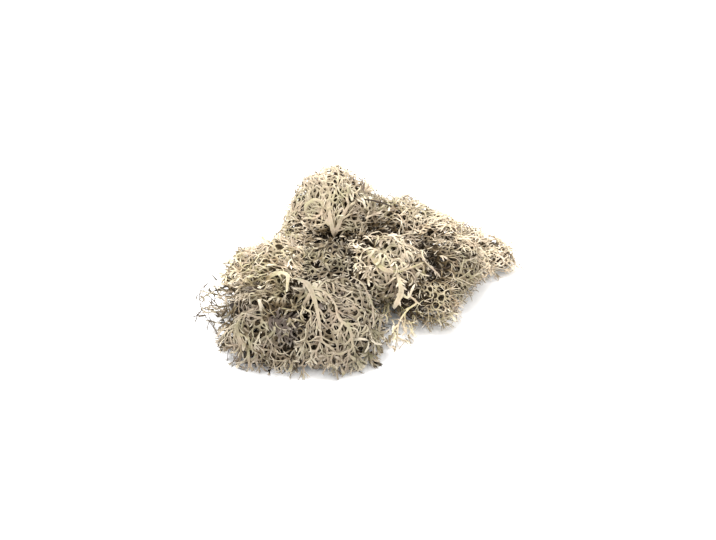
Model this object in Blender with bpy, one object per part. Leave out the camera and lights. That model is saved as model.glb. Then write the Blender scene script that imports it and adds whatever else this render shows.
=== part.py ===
"""Dried lichen on a twig: a loose, low heap of shrubby lichen tufts on a forked, bark-covered twig.

Run with: blender --background --python part.py
Lengths below are in millimetres and become metres where the mesh is made. +X runs along the heap,
+Y towards its back, +Z up. The origin is the bottom centre of the whole heap's box.

The twig lies inside the heap and is split at its forks. Each tuft is one thallus that grew from
its own holdfast on the twig. Its solid is a plain, slightly lumpy dome that reaches the tips of
its lobes, cut flat where it lies on the table and stopped short of its neighbours and of the twig.
"""

import math

import bmesh
import bpy
from mathutils import Matrix, Vector, noise

MM = 0.001

# The gap kept between solids that touch in the real heap.
GAP = 0.3

# Middle of the heap's box before it is moved to the origin.
HEAP_CENTRE = (1.0, -17.96)

# Driving sizes of the twig: stem diameter at its thick end, and how slender each order of branch is.
STEM_DIAMETER = 6.4
STEM_TAPER = 0.62
BRANCH_DIAMETER = 3.2
BRANCH_TAPER = 0.42
TWIGLET_DIAMETER = 1.1
TWIGLET_TAPER = 0.55

# Detail of the plain solids.
DOME_SEGMENTS = 20
DOME_RINGS = 11
LUMP_HEIGHT = 0.10
LUMP_SCALE = 1.7

# Each piece of the twig: name, start diameter, taper and the points that its middle line bends
# through. The stem comes first, and every later piece springs from one that is already made.
TWIG_PIECES = (
    ("twig_stem", STEM_DIAMETER, STEM_TAPER,
     ((-57, -36, 9), (-34, -19, 14), (-12, -4, 18), (10, 3, 18), (33, 8, 13), (55, 15, 8))),
    ("twig_branch_crest", BRANCH_DIAMETER, BRANCH_TAPER,
     ((-12, -4, 18), (-13, 2, 26), (-15, 8, 35), (-20, 11, 43), (-23, 12, 47.5))),
    ("twig_branch_front", BRANCH_DIAMETER, BRANCH_TAPER,
     ((-34, -19, 14), (-26, -29, 14), (-20, -41, 12), (-17, -55, 7))),
    ("twig_branch_right", BRANCH_DIAMETER, BRANCH_TAPER,
     ((10, 3, 18), (20, -4, 15), (29, -14, 11), (36, -25, 6))),
    ("twiglet_crest", TWIGLET_DIAMETER, TWIGLET_TAPER,
     ((-15, 8, 35), (-7, 8, 39.5), (2, 7, 42), (11, 7, 40), (16, 8, 37))),
    ("twiglet_left", TWIGLET_DIAMETER, TWIGLET_TAPER,
     ((-45, -28, 11), (-53, -26, 14), (-62, -26, 15), (-69, -29, 12))),
)

# Each tuft: name, middle of its dome, half sizes along its own axes, and its turn about Z in degrees.
TUFTS = (
    ("tuft_crest", (-9, 14, 28), (21, 19, 25), 0),
    ("tuft_crest_right", (17, 16, 14), (19, 18, 18), -12),
    ("tuft_crest_back", (-22, 28, 13), (19, 14, 14), 15),
    ("tuft_left_spray", (-26, 2, 17), (19, 15, 15), -10),
    ("tuft_left_upper", (-41, -20, 15), (19, 17, 14), 15),
    ("tuft_left_edge", (-62, -34, 9), (13, 13, 9), 20),
    ("tuft_front_left", (-41, -56, 11), (22, 21, 13), 10),
    ("tuft_front_centre", (-10, -54, 13), (24, 26, 16), -8),
    ("tuft_saddle", (-14, -18, 15), (15, 14, 11), 0),
    ("tuft_middle", (12, -16, 20), (18, 18, 13), -20),
    ("tuft_front_fringe", (17, -47, 5), (12, 17, 6), -18),
    ("tuft_right_shoulder", (37, 9, 15), (23, 17, 15), -12),
    ("tuft_right_tip", (62, 16, 7), (15, 12, 8), -8),
    ("tuft_right_low", (40, -9, 11), (16, 14, 11), -20),
    ("tuft_right_hem", (34, -31, 7), (16, 12, 8), -25),
    ("tuft_back_right", (26, 33, 9), (23, 11, 10), -10),
)

# Colour, roughness of the plain materials.
BARK = ((0.055, 0.040, 0.030), 0.9)
LICHEN = ((0.56, 0.51, 0.40), 0.85)


def clear_scene():
    for old in list(bpy.data.objects):
        bpy.data.objects.remove(old)


def plain_material(name, colour, roughness):
    material = bpy.data.materials.new(name)
    material.use_nodes = True
    shader = material.node_tree.nodes["Principled BSDF"]
    shader.inputs["Base Color"].default_value = (*colour, 1.0)
    shader.inputs["Roughness"].default_value = roughness
    shader.inputs["Metallic"].default_value = 0.0
    return material


def add_object(name, mesh, material):
    made = bpy.data.objects.new(name, mesh)
    bpy.context.scene.collection.objects.link(made)
    mesh.materials.append(material)
    return made


def placed(point):
    """A point of the heap, in metres, once the heap's box stands on the origin."""
    return Vector((point[0] - HEAP_CENTRE[0], point[1] - HEAP_CENTRE[1], point[2])) * MM


def tube_mesh(name, points, diameter, taper, extra=0.0):
    """A round, tapering stick along a smooth line near the points, made as a bevelled curve."""
    curve = bpy.data.curves.new(name + "_line", "CURVE")
    curve.dimensions = "3D"
    curve.bevel_depth = MM
    curve.bevel_resolution = 2
    curve.use_fill_caps = True
    curve.resolution_u = 4
    spline = curve.splines.new("NURBS")
    spline.points.add(len(points) - 1)
    for number, point in enumerate(points):
        along = number / (len(points) - 1)
        radius = diameter / 2 * (1 - (1 - taper) * along)
        spline.points[number].co = (*placed(point), 1.0)
        spline.points[number].radius = radius + extra
    spline.use_endpoint_u = True
    spline.order_u = 3
    guide = bpy.data.objects.new(name + "_line", curve)
    bpy.context.scene.collection.objects.link(guide)
    bpy.context.view_layer.update()
    graph = bpy.context.evaluated_depsgraph_get()
    mesh = bpy.data.meshes.new_from_object(guide.evaluated_get(graph))
    bpy.data.objects.remove(guide)
    weld = bmesh.new()
    weld.from_mesh(mesh)
    bmesh.ops.remove_doubles(weld, verts=weld.verts, dist=0.01 * MM)
    bmesh.ops.recalc_face_normals(weld, faces=weld.faces)
    weld.to_mesh(mesh)
    weld.free()
    return mesh


def combine(body, other, operation):
    """Cuts the other shape out of the body (DIFFERENCE), or joins it on (UNION)."""
    change = body.modifiers.new(operation.lower() + "_" + other.name, "BOOLEAN")
    change.operation = operation
    change.solver = "EXACT"
    change.object = other


def make_twig(bark):
    """The twig's pieces. Returns one fattened copy of them all, which keeps the tufts clear."""
    cutters = {}
    for name, diameter, taper, points in TWIG_PIECES:
        piece = add_object(name, tube_mesh(name, points, diameter, taper), bark)
        piece.data.shade_smooth()
        piece.data.set_sharp_from_angle(angle=math.radians(50))
        for other, cutter in cutters.items():
            if touches(points, other):
                combine(piece, cutter, "DIFFERENCE")
        cutter = add_object(
            name + "_clearance", tube_mesh(name, points, diameter, taper, extra=GAP), bark)
        cutter.hide_render = True
        cutter.display_type = "WIRE"
        cutters[name] = cutter
    whole = add_object("twig_clearance", cutters["twig_stem"].data.copy(), bark)
    whole.hide_render = True
    whole.display_type = "WIRE"
    for name in list(cutters)[1:]:
        combine(whole, cutters[name], "UNION")
    return whole


def touches(points, other):
    """Whether a twig piece springs from the other one: its first point lies on that one's line."""
    line = next(piece[3] for piece in TWIG_PIECES if piece[0] == other)
    root = Vector(points[0])
    return min(distance_to_line(root, a, b) for a, b in zip(line, line[1:])) < STEM_DIAMETER


def distance_to_line(point, start, end):
    start, end = Vector(start), Vector(end)
    along = (point - start).dot(end - start) / (end - start).length_squared
    return (point - start - (end - start) * min(1.0, max(0.0, along))).length


def dome_reach(tuft, way):
    """How far the dome's own ellipsoid reaches from its middle along a direction."""
    _, _, half, turn = tuft
    own = Matrix.Rotation(-math.radians(turn), 3, "Z") @ way
    return 1 / math.sqrt(sum((own[k] / half[k]) ** 2 for k in range(3)))


def shared_planes(tuft):
    """The planes where the dome meets its neighbours: how far out each lies, and its direction."""
    middle = Vector(tuft[1])
    planes = []
    for other in TUFTS:
        if other is tuft:
            continue
        across = Vector(other[1]) - middle
        way = across.normalized()
        mine, theirs = dome_reach(tuft, way), dome_reach(other, -way)
        planes.append((across.length * mine / (mine + theirs) - GAP / 2, way))
    return planes


def make_tuft(tuft, number, lichen, clearance):
    """One dome: an ellipsoid with soft lumps, held inside the table's plane and its own share."""
    name, middle, half, turn = tuft
    middle = Vector(middle)
    planes = shared_planes(tuft) + [(middle.z, Vector((0, 0, -1)))]
    upright = Matrix.Rotation(math.radians(turn), 3, "Z")
    shape = bmesh.new()
    bmesh.ops.create_uvsphere(
        shape, u_segments=DOME_SEGMENTS, v_segments=DOME_RINGS, radius=1.0)
    for vertex in shape.verts:
        out = upright @ Vector([vertex.co[k] * half[k] for k in range(3)])
        lump = noise.noise(vertex.co * LUMP_SCALE + Vector((7.3 * number, 0, 0)))
        reach = out.length * (1 + LUMP_HEIGHT * lump)
        way = out.normalized()
        for distance, normal in planes:
            towards = way.dot(normal)
            if towards * reach > distance:
                reach = distance / towards
        vertex.co = placed(middle + way * reach)
    mesh = bpy.data.meshes.new(name)
    shape.to_mesh(mesh)
    shape.free()
    dome = add_object(name, mesh, lichen)
    dome.data.shade_smooth()
    dome.data.set_sharp_from_angle(angle=math.radians(40))
    combine(dome, clearance, "DIFFERENCE")
    return dome


clear_scene()
bark_material = plain_material("bark", *BARK)
lichen_material = plain_material("lichen", *LICHEN)
twig_clearance = make_twig(bark_material)
for order, tuft_sizes in enumerate(TUFTS):
    make_tuft(tuft_sizes, order, lichen_material, twig_clearance)
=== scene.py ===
import math

import bpy
import numpy as np
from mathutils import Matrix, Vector
from mathutils.geometry import delaunay_2d_cdt


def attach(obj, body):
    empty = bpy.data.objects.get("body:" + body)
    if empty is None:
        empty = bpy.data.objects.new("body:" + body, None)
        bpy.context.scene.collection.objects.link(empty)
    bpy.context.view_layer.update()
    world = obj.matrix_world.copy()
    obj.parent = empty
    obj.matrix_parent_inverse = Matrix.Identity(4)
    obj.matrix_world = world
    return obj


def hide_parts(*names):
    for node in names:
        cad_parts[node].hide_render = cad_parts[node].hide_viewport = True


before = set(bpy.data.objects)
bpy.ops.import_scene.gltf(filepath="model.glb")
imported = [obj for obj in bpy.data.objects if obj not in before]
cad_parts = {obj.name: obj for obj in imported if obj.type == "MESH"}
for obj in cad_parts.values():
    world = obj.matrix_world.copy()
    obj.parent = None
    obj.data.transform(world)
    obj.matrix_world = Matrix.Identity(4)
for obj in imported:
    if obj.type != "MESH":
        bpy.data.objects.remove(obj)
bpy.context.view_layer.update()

# ----------------------------------------
# Twig. Thin, dry, dark brown wood in its bark, forked four times and broken off at its ends. It
# lies inside the heap and shows only at a few gaps. The stem, branches and twiglets are one wood.
# ----------------------------------------
MM = 0.001
TWIG_NODES = ("twig_stem", "twig_branch_crest", "twig_branch_front", "twig_branch_right",
              "twiglet_crest", "twiglet_left")


def node_material(name):
    """A new material with its own nodes. Returns it, its nodes, its links and its shader."""
    material = bpy.data.materials.new(name)
    material.use_nodes = True
    nodes = material.node_tree.nodes
    return material, nodes, material.node_tree.links, nodes["Principled BSDF"]


def ramp_between(nodes, stops):
    """A colour ramp with these (position, linear colour) stops."""
    ramp = nodes.new("ShaderNodeValToRGB")
    elements = ramp.color_ramp.elements
    while len(elements) < len(stops):
        elements.new(0.5)
    for element, (position, colour) in zip(elements, stops):
        element.position = position
        element.color = (*colour, 1.0)
    return ramp


bark, bark_nodes, bark_links, bark_shader = node_material("twig bark")
bark_place = bark_nodes.new("ShaderNodeTexCoord")
bark_streaks = bark_nodes.new("ShaderNodeTexNoise")
bark_streaks.inputs["Scale"].default_value = 900.0
bark_streaks.inputs["Detail"].default_value = 6.0
bark_streaks.inputs["Roughness"].default_value = 0.65
bark_links.new(bark_place.outputs["Object"], bark_streaks.inputs["Vector"])
bark_colour = ramp_between(bark_nodes, (
    (0.30, (0.012, 0.008, 0.006)), (0.52, (0.050, 0.034, 0.024)), (0.75, (0.14, 0.105, 0.075))))
bark_links.new(bark_streaks.outputs["Fac"], bark_colour.inputs["Fac"])
bark_links.new(bark_colour.outputs["Color"], bark_shader.inputs["Base Color"])
bark_shader.inputs["Roughness"].default_value = 0.9
bark_bump = bark_nodes.new("ShaderNodeBump")
bark_bump.inputs["Strength"].default_value = 0.9
bark_bump.inputs["Distance"].default_value = 0.4 * MM
bark_links.new(bark_streaks.outputs["Fac"], bark_bump.inputs["Height"])
bark_links.new(bark_bump.outputs["Normal"], bark_shader.inputs["Normal"])

for node_name in TWIG_NODES:
    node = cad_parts[node_name]
    node.data.materials.clear()
    node.data.materials.append(bark)

# ----------------------------------------
# Lichen lobes. Each tuft is a thallus of flat, leathery, dry lobes that fork again and again, wide
# and webbed near the holdfast and thread-fine at the tips. Pale above, grey-violet to dark below.
# ----------------------------------------
# Each tuft's dome: middle and half sizes in millimetres, turn about Z in degrees.
DOMES = {
    "tuft_crest": ((-12, 31, 26.5), (20.5, 18, 25), 0),
    "tuft_crest_right": ((17, 34, 15.5), (19, 18, 18), -12),
    "tuft_crest_back": ((-19.5, 45, 12), (17.5, 14, 14), 15),
    "tuft_left_spray": ((-23, 18, 15), (15, 14, 14), -10),
    "tuft_left_upper": ((-42, 0, 16), (20, 17, 14), 15),
    "tuft_left_edge": ((-64, -17, 9), (13, 13, 9), 20),
    "tuft_front_left": ((-40.5, -33.5, 5), (20, 21, 18.5), 10),
    "tuft_front_centre": ((-14, -34, 7), (21.5, 22.5, 21.5), -8),
    "tuft_saddle": ((-13, 1, 16), (15.5, 15, 12), 0),
    "tuft_middle": ((11, 2, 20), (18, 18, 13), -20),
    "tuft_front_fringe": ((16, -29, 5), (12, 17, 6), -18),
    "tuft_right_shoulder": ((36, 26, 12.5), (23, 17, 14.5), -12),
    "tuft_right_tip": ((61, 33, 5), (15, 11, 7.5), -8),
    "tuft_right_low": ((39, 9, 11), (16, 14, 11), -20),
    "tuft_right_hem": ((31, -11.5, 7.5), (14, 11, 7.5), -25),
    "tuft_back_right": ((25, 46.5, 6.5), (21, 11, 8.5), -10),
}
DOME_NAMES = list(DOMES)
DOME_MIDDLE = np.array([DOMES[k][0] for k in DOME_NAMES], float)
DOME_HALF = np.array([DOMES[k][1] for k in DOME_NAMES], float)
DOME_TURN = np.radians([DOMES[k][2] for k in DOME_NAMES])
# How softly neighbouring domes run into each other, per millimetre, and how high its lumps stand.
HEAP_SOFTNESS = 0.20
LUMP_HEIGHT = 2.4
# Hollows between the lobes, and a hump where the depth is below zero: middle, radius and depth.
HOLLOWS = (
    ((-11, 11, 28), 3.8, 6.0), ((-19, 8, 27), 2.8, 3.5), ((10, 15, 30), 4.5, 6.0),
    ((35, -2, 21), 4.0, 5.0), ((-56, -30, 16), 4.0, 5.0), ((-36, -36, 23), 4.0, 4.0),
    ((5, 0, 31), 3.5, 3.0), ((-12, -58, 20), 3.5, 4.0), ((-37, -19, 24), 2.6, 4.0),
    ((18, -24, 12), 6.0, 5.0), ((22, 14, 26), 4.0, 4.0), ((-22, 29, 50), 5.0, -4.5),
    ((30, 8, 22), 3.5, 4.5),
)
# The crowding grid, in cells of a millimetre: how much lobe there already is, in square millimetres
# per cubic millimetre. A row across a lobe is spread over its own cell and the ones around it.
GRID_LOW = np.array((-95.0, -80.0, -6.0))
GRID_CELLS = (190, 160, 76)
SPREAD = 0.8
SPREAD_TOTAL = 8.06
crowding = np.zeros(GRID_CELLS, np.float32)


def unit(vectors):
    return vectors / np.maximum(np.linalg.norm(vectors, axis=-1, keepdims=True), 1e-9)


def turned(vectors, cos, sin):
    """Vectors turned about Z by the angle with this cosine and sine."""
    x, y, z = np.moveaxis(vectors, -1, 0)
    return np.stack((x * cos - y * sin, x * sin + y * cos, z), axis=-1)


def dome_distances(points):
    """Distance of points (n, 3) out of each dome, and the way out of each one."""
    cos, sin = np.cos(DOME_TURN), np.sin(DOME_TURN)
    share = turned(points[:, None, :] - DOME_MIDDLE, cos, -sin) / DOME_HALF
    slope = share / DOME_HALF
    size, steep = np.linalg.norm(share, axis=-1), np.linalg.norm(slope, axis=-1) + 1e-9
    return size * (size - 1) / steep, turned(slope / steep[..., None], cos, sin)


def lumps(points):
    """Hollows and swellings of the heap's skin, from about -1 to 1."""
    x, y, z = points.T
    first = np.sin(x / 3.9 + 1.7 * np.sin(y / 5.3 + 0.6)) * np.sin(y / 4.3 + 1.1 * np.sin(z / 4.1))
    second = np.sin(x / 2.1 + 1.3 * np.sin(z / 2.3)) * np.sin(y / 2.4 + z / 2.0)
    return 0.7 * first + 0.3 * second


def patches(points):
    """Smooth random patches a few millimetres across, from about -1 to 1."""
    x, y, z = points.T
    first = np.sin(x / 4.7 + 2.1 * np.sin(y / 6.1)) * np.cos(y / 3.9 + 1.6 * np.sin(z / 5.2 + x / 9.0))
    return 0.65 * first + 0.35 * np.sin(x / 2.3 + y / 1.9 + 2.0 * np.sin(z / 2.9))


def heap_surface(points, hollowed=True):
    """How far points are out of the whole heap (below zero inside), and the way out."""
    distance, out = dome_distances(points)
    nearest = distance.min(axis=1, keepdims=True)
    weight = np.exp(-HEAP_SOFTNESS * (distance - nearest))
    total = weight.sum(axis=1)
    way = unit((weight[..., None] * out).sum(axis=1))
    height = nearest[:, 0] - np.log(total) / HEAP_SOFTNESS + LUMP_HEIGHT * lumps(points)
    if hollowed:
        for middle, radius, depth in HOLLOWS:
            gap = ((points - middle) ** 2).sum(axis=1)
            height = height + depth * np.exp(-gap / (2 * radius ** 2))
    return height, way


def add_crowding(points, areas):
    corner = np.floor(points - GRID_LOW).astype(int) - 1
    for shift in np.ndindex(3, 3, 3):
        near = np.clip(corner + shift, 0, np.array(GRID_CELLS) - 1)
        gap = points - (GRID_LOW + near + 0.5)
        amount = areas * np.exp(-(gap ** 2).sum(axis=1) / (2 * SPREAD ** 2)) / SPREAD_TOTAL
        np.add.at(crowding, tuple(near.T), amount)


def crowding_at(points):
    cell = np.clip(np.floor(points - GRID_LOW).astype(int), 0, np.array(GRID_CELLS) - 1)
    return crowding[cell[:, 0], cell[:, 1], cell[:, 2]]


# How a lobe's tip is steered, in millimetres. It looks this far past its own half width, ahead and
# to both sides, bends away from the fuller side, and is drawn to its depth and along the flow.
ROW_STEP = 0.7
LOOK_AHEAD = 1.5
SIDE_LOOK = 0.75
AVOIDING = 1.6
MOST_AVOIDING = 0.35
TIGHTEST_TURN = 0.75
TURN_ROOM = 0.35
DEPTH_PULL = 0.42
FLOW_PULL = 0.10
# An end lifts by this much over its last length, and a lobe turns up where it is near the table.
LIFT_LENGTH = 3
END_LIFT = 2.0
RISE_BELOW = 1.4
TABLE_GAP = 1.3
# The length over which a lobe forgets its bend.
MEMORY = 5.0
# A young lobe is let through where it is crowded. An older one may end there, pointed or blunt, and
# forks only where there is room.
YOUNG_LENGTH = 7
END_CHANCE = 0.22
BLUNT_CHANCE = 0.6
LAST_LENGTH = (0.6, 2.2)
FORK_CROWDING = 0.19
ENDLESS = 99.0
# How far a lobe widens just before it forks, how rough its rims are, and where its ridge may split.
FLARE = 0.45
RIM_ROUGHNESS = 0.10
MOST_SPLIT = 0.42
FORK_ANGLE = (0.45, 0.85)
# Rows across the lobes for each square millimetre of open skin.
ROWS_PER_AREA = 2.6
# Main lobes placed one by one: the step of their rows, how rough their rims are, how deep the
# painted depth shade takes them to lie, and the length, web and most rows of the lobes that part
# from them.
LEAD_STEP = 0.6
LEAD_ROUGHNESS = 0.06
LEAD_BELOW = -0.3
SIDE_LENGTH = 8.0
SIDE_WEB = 0.9
SIDE_ROWS = 700
END_ROWS = 500
# The first lobes' depths and length. Lobes that fill gaps start this far apart, stray from the flow by
# about this angle, and come in rounds. Each starts behind its bare place and rises into it.
FIRST_DEPTH = (0.5, 4.0)
FIRST_LENGTH = 45
SPOT_GAP = 2.2
SCATTER = 0.7
FILL_ROUNDS = 14
LOBES_A_ROUND = 40
BEHIND = (2.5, 6.0)
BENEATH = (0.8, 2.6)
# A crowding that is never reached, for lobes that lie over others, and the top of a tuft's foot.
UNCROWDED = 9.0
FOOT_HEIGHT = 10
# A net's holes are this much longer than wide and have no more than this many sides. Its bars are
# this much thicker above and below their middle.
NET_STRETCH = 1.9
MOST_SIDES = 16
NET_ABOVE = 0.30
NET_BELOW = 0.10


class Tuft:
    """One thallus while it grows: its rows across the lobes, in the order they are made."""

    def __init__(self, name, seed, root, lobes=9, width=1.1, fork=3.2, fine=0.22, fill=0.09,
                 density=1.0, deepest=20.0):
        self.number = DOME_NAMES.index(name)
        self.middle, self.half_sizes = DOME_MIDDLE[self.number], DOME_HALF[self.number]
        self.cos, self.sin = math.cos(DOME_TURN[self.number]), math.sin(DOME_TURN[self.number])
        self.random = np.random.default_rng(seed)
        self.root = np.array(root, float)
        self.lobes, self.width, self.fork, self.fine, self.fill = lobes, width, fork, fine, fill
        self.wander, self.curl, self.roll, self.decay = 0.13, 0.07, 0.45, 0.012
        self.overshoot, self.most_crowded, self.deepest = 3.5, 0.24, deepest
        self.most = ROWS_PER_AREA * density * self.open_area()
        self.rows = {key: [] for key in ("at", "side", "up", "half", "prev", "branch", "split",
                                         "forked", "tone", "below", "step", "blunt", "green")}
        self.count = 0

    def flow(self, points, outward):
        """The way that lobes run at these points: away from the holdfast, along the surface."""
        away = unit(points - self.root)
        return unit(away - (away * outward).sum(axis=1, keepdims=True) * outward)

    def start(self, at, way, half, depth, tone):
        """New lobe tips, each with the state that steers it."""
        amount = len(at)
        draw = self.random
        _, outward = heap_surface(at)
        side = unit(np.cross(way, outward) + 1e-6)
        return dict(
            at=at.copy(), way=unit(way), side=side, up=unit(np.cross(side, way)),
            half=half.copy(), depth=depth.copy(), tone=tone.copy(),
            bend=draw.normal(0, self.wander, amount), lift=draw.normal(0, self.curl, amount),
            roll=draw.normal(0, self.roll, amount), stray=draw.normal(0, 0.5, amount),
            lyre=np.zeros(amount), togo=self.fork * draw.uniform(0.4, 1.2, amount),
            prev=np.full(amount, -1), branch=np.zeros(amount, int), run=np.zeros(amount),
            ending=np.full(amount, ENDLESS), blunt=np.zeros(amount, bool),
            web=np.zeros(amount), green=np.zeros(amount))

    def grow(self, tips, length, budget, step=ROW_STEP):
        """Runs lobe tips forward, a row at a time, until each one ends."""
        draw = self.random
        self.step = step
        self.put_rows(tips, np.zeros(len(tips["at"]), bool))
        for _ in range(int(length / step)):
            amount = len(tips["at"])
            if not amount or self.count > budget:
                break
            self.advance(tips)
            tips["togo"] -= step
            tips["run"] += step
            tips["ending"] -= step
            ahead = crowding_at(tips["at"] + tips["way"] * (LOOK_AHEAD + tips["half"])[:, None])
            outside = dome_distances(tips["at"])[0][:, self.number]
            young = tips["run"] < YOUNG_LENGTH
            crowded = (ahead > self.most_crowded) & ~young
            stop = (outside > self.overshoot) | (tips["half"] < self.fine)
            stop |= crowded & (draw.random(amount) < END_CHANCE)
            last = np.minimum(tips["ending"], draw.uniform(*LAST_LENGTH, amount))
            tips["ending"] = np.where(stop, last, tips["ending"])
            tips["blunt"] |= crowded & (draw.random(amount) < BLUNT_CHANCE)
            due = tips["togo"] <= 0
            fork = due & ((ahead < FORK_CROWDING) | young) & (tips["half"] > self.fine * 1.15)
            fork &= tips["ending"] > 2
            self.put_rows(tips, fork)
            tips["togo"] = np.where(due & ~fork, self.fork * 0.4, tips["togo"])
            tips["branch"][:] = 0
            tips["half"] *= 1 - self.decay * step
            tips = self.split(tips, fork)
            keep = tips["ending"] > 0
            tips = {key: value[keep] for key, value in tips.items()}

    def advance(self, tips):
        """Turns each tip a little and moves it on by one step."""
        draw, step, amount = self.random, self.step, len(tips["at"])
        at, way = tips["at"], tips["way"]
        out, outward = heap_surface(at)
        flow = self.flow(at, outward)
        turn = tips["stray"][:, None]
        flow = flow * np.cos(turn) + np.cross(outward, flow) * -np.sin(turn)
        reach = (LOOK_AHEAD + tips["half"])[:, None]
        left = crowding_at(at + (way * SIDE_LOOK - tips["side"] * SIDE_LOOK) * reach)
        right = crowding_at(at + (way * SIDE_LOOK + tips["side"] * SIDE_LOOK) * reach)
        avoid = np.clip((left - right) * AVOIDING, -MOST_AVOIDING, MOST_AVOIDING)
        turning = tips["bend"] + tips["lyre"] + avoid
        tightest = TIGHTEST_TURN / (tips["half"] + TURN_ROOM)
        turning = np.clip(turning, -tightest, tightest)
        aim = np.where(tips["ending"] < LIFT_LENGTH, tips["depth"] - END_LIFT, tips["depth"])
        rise = np.clip((-aim - out) / 2.0, -1, 1) * DEPTH_PULL + tips["lift"]
        rise += np.where(at[:, 2] < RISE_BELOW, 0.5, 0.0)
        level = np.cross(way, outward)
        way = way + step * (turning[:, None] * unit(level) + FLOW_PULL * (flow - way)
                            + rise[:, None] * outward)
        way[:, 2] += step * np.clip(TABLE_GAP - at[:, 2], 0, 1) * 0.7
        way = unit(way)
        tips["at"] = at + way * step
        tips["way"] = way
        fade = step / MEMORY
        shake = math.sqrt(2 * fade)
        thin = np.clip(1.3 - 0.35 * tips["half"], 0.4, 1.3)
        tips["bend"] += -tips["bend"] * fade + draw.normal(0, self.wander, amount) * shake * thin
        tips["lift"] += -tips["lift"] * fade + draw.normal(0, self.curl, amount) * shake * thin
        tips["roll"] += -tips["roll"] * fade * 0.5 + draw.normal(0, self.roll, amount) * shake * 0.7
        tips["stray"] -= tips["stray"] * fade * 0.4
        tips["lyre"] *= 1 - min(1.0, step / 1.6)
        flat = unit(outward - (outward * way).sum(axis=1, keepdims=True) * way)
        angle = (tips["roll"] * thin)[:, None]
        wanted = flat * np.cos(angle) + np.cross(way, flat) * np.sin(angle)
        tips["up"] = unit(tips["up"] * 0.72 + wanted * 0.28)
        quick = np.clip(step / (tips["half"] + 0.35), 0, 1)[:, None]
        side = unit(tips["side"] * (1 - quick) + np.cross(way, tips["up"]) * quick)
        tips["side"] = side
        tips["up"] = unit(tips["up"] - (tips["up"] * side).sum(axis=1, keepdims=True) * side)

    def put_rows(self, tips, fork):
        """Keeps a row across each lobe where its tip now is."""
        amount = len(tips["at"])
        draw, rows = self.random, self.rows
        flare = 1 + FLARE * np.clip(1 - tips["togo"] / 2.0, 0, 1) ** 1.5
        flare = np.where(tips["ending"] < 2.5, 1.0, flare)
        flare *= 1 + tips["web"] * np.exp(-tips["run"] / 0.9)
        wavy = 1 + RIM_ROUGHNESS * draw.normal(0, 1, amount).clip(-1.5, 1.5)
        half = tips["half"] * flare * np.where(fork, 1.0, wavy)
        for key in ("at", "side", "up", "prev", "branch", "tone", "blunt", "green"):
            rows[key].append(tips[key].copy())
        rows["half"].append(half)
        rows["forked"].append(fork.copy())
        rows["split"].append(draw.uniform(-MOST_SPLIT, MOST_SPLIT, amount))
        rows["step"].append(np.full(amount, self.step))
        # Depth below the heap's skin without its hollows, at most deepest: the skin's painted shade
        # darkens with it, also in the hollows.
        rows["below"].append(np.minimum(-heap_surface(tips["at"], hollowed=False)[0], self.deepest))
        tips["prev"] = self.count + np.arange(amount)
        self.count += amount
        add_crowding(tips["at"], 2 * half * self.step)

    def split(self, tips, fork):
        """Each forking tip becomes a left and a right one, which part and then bend back."""
        if not fork.any():
            return tips
        draw = self.random
        chosen = {key: value[fork] for key, value in tips.items()}
        stay = {key: value[~fork] for key, value in tips.items()}
        amount = int(fork.sum())
        last_half, last_split = self.rows["half"][-1][fork], self.rows["split"][-1][fork]
        made = [stay]
        for hand, branch in ((-1, 1), (1, 2)):
            child = {key: value.copy() for key, value in chosen.items()}
            middle = (hand + last_split) / 2 * last_half
            share = (1 - hand * last_split) / 2
            child["at"] = child["at"] + child["side"] * middle[:, None]
            child["half"] = chosen["half"] * np.clip(share * 1.62, 0.42, 0.98)
            angle = draw.uniform(*FORK_ANGLE, amount) * hand
            child["way"] = unit(child["way"] * np.cos(angle)[:, None]
                                + child["side"] * np.sin(angle)[:, None])
            child["lyre"] = -angle * 0.35
            child["stray"] = child["stray"] + hand * draw.uniform(0.1, 0.6, amount)
            child["bend"] = child["bend"] * 0.4 + draw.normal(0, self.wander * 0.6, amount)
            child["togo"] = self.fork * (0.6 + 0.5 * child["half"]) * draw.uniform(0.55, 1.45, amount)
            child["depth"] = child["depth"] + draw.normal(0, 0.8, amount)
            child["branch"] = np.full(amount, branch)
            short = (share < 0.40) & (draw.random(amount) < 0.5)
            child["ending"] = np.where(short, draw.uniform(1.2, 3.2, amount), child["ending"])
            made.append(child)
        return {key: np.concatenate([part[key] for part in made]) for key in tips}

    def lead(self, line, halves, gap=2.6, side_lobe=0.42, green=0.0, tone=-0.2, lift=0.0):
        """A main lobe along a line, with webbed side lobes from both rims and a forked end."""
        draw = self.random
        at, half = smooth_line(np.array(line, float), halves)
        way = unit(np.gradient(at, axis=0))
        _, outward = heap_surface(at)
        at = at + outward * lift
        up = unit(outward - (outward * way).sum(axis=1, keepdims=True) * way)
        side = np.cross(way, up)
        amount, first = len(at), self.count
        rough = half * (1 + LEAD_ROUGHNESS * draw.normal(0, 1, amount).clip(-1.5, 1.5))
        made = dict(at=at, side=side, up=up, half=rough, prev=first - 1 + np.arange(amount),
                    branch=np.zeros(amount, int), split=np.zeros(amount),
                    forked=np.zeros(amount, bool), tone=np.full(amount, tone),
                    below=np.full(amount, LEAD_BELOW), step=np.full(amount, LEAD_STEP),
                    blunt=np.ones(amount, bool), green=np.full(amount, green))
        made["prev"][0] = -1
        for key, values in made.items():
            self.rows[key].append(values)
        self.count += amount
        add_crowding(at, 2 * half * LEAD_STEP)
        tips = self.start(at[-1:] + way[-1:] * LEAD_STEP, way[-1:], half[-1:], np.zeros(1),
                          np.full(1, tone))
        tips["prev"][:] = self.count - 1
        tips["togo"][:] = 0.5
        tips["green"][:] = green
        self.grow(tips, SIDE_LENGTH * 1.4, self.count + END_ROWS)
        places = np.arange(gap, LEAD_STEP * amount, gap)
        places = places + draw.uniform(-0.25, 0.25, len(places)) * gap
        index = np.clip((places / LEAD_STEP).astype(int), 0, amount - 1)
        if not len(index):
            return
        hand = np.where(np.arange(len(index)) % 2, 1.0, -1.0)
        angle = (hand * draw.uniform(0.6, 1.0, len(index)))[:, None]
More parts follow.
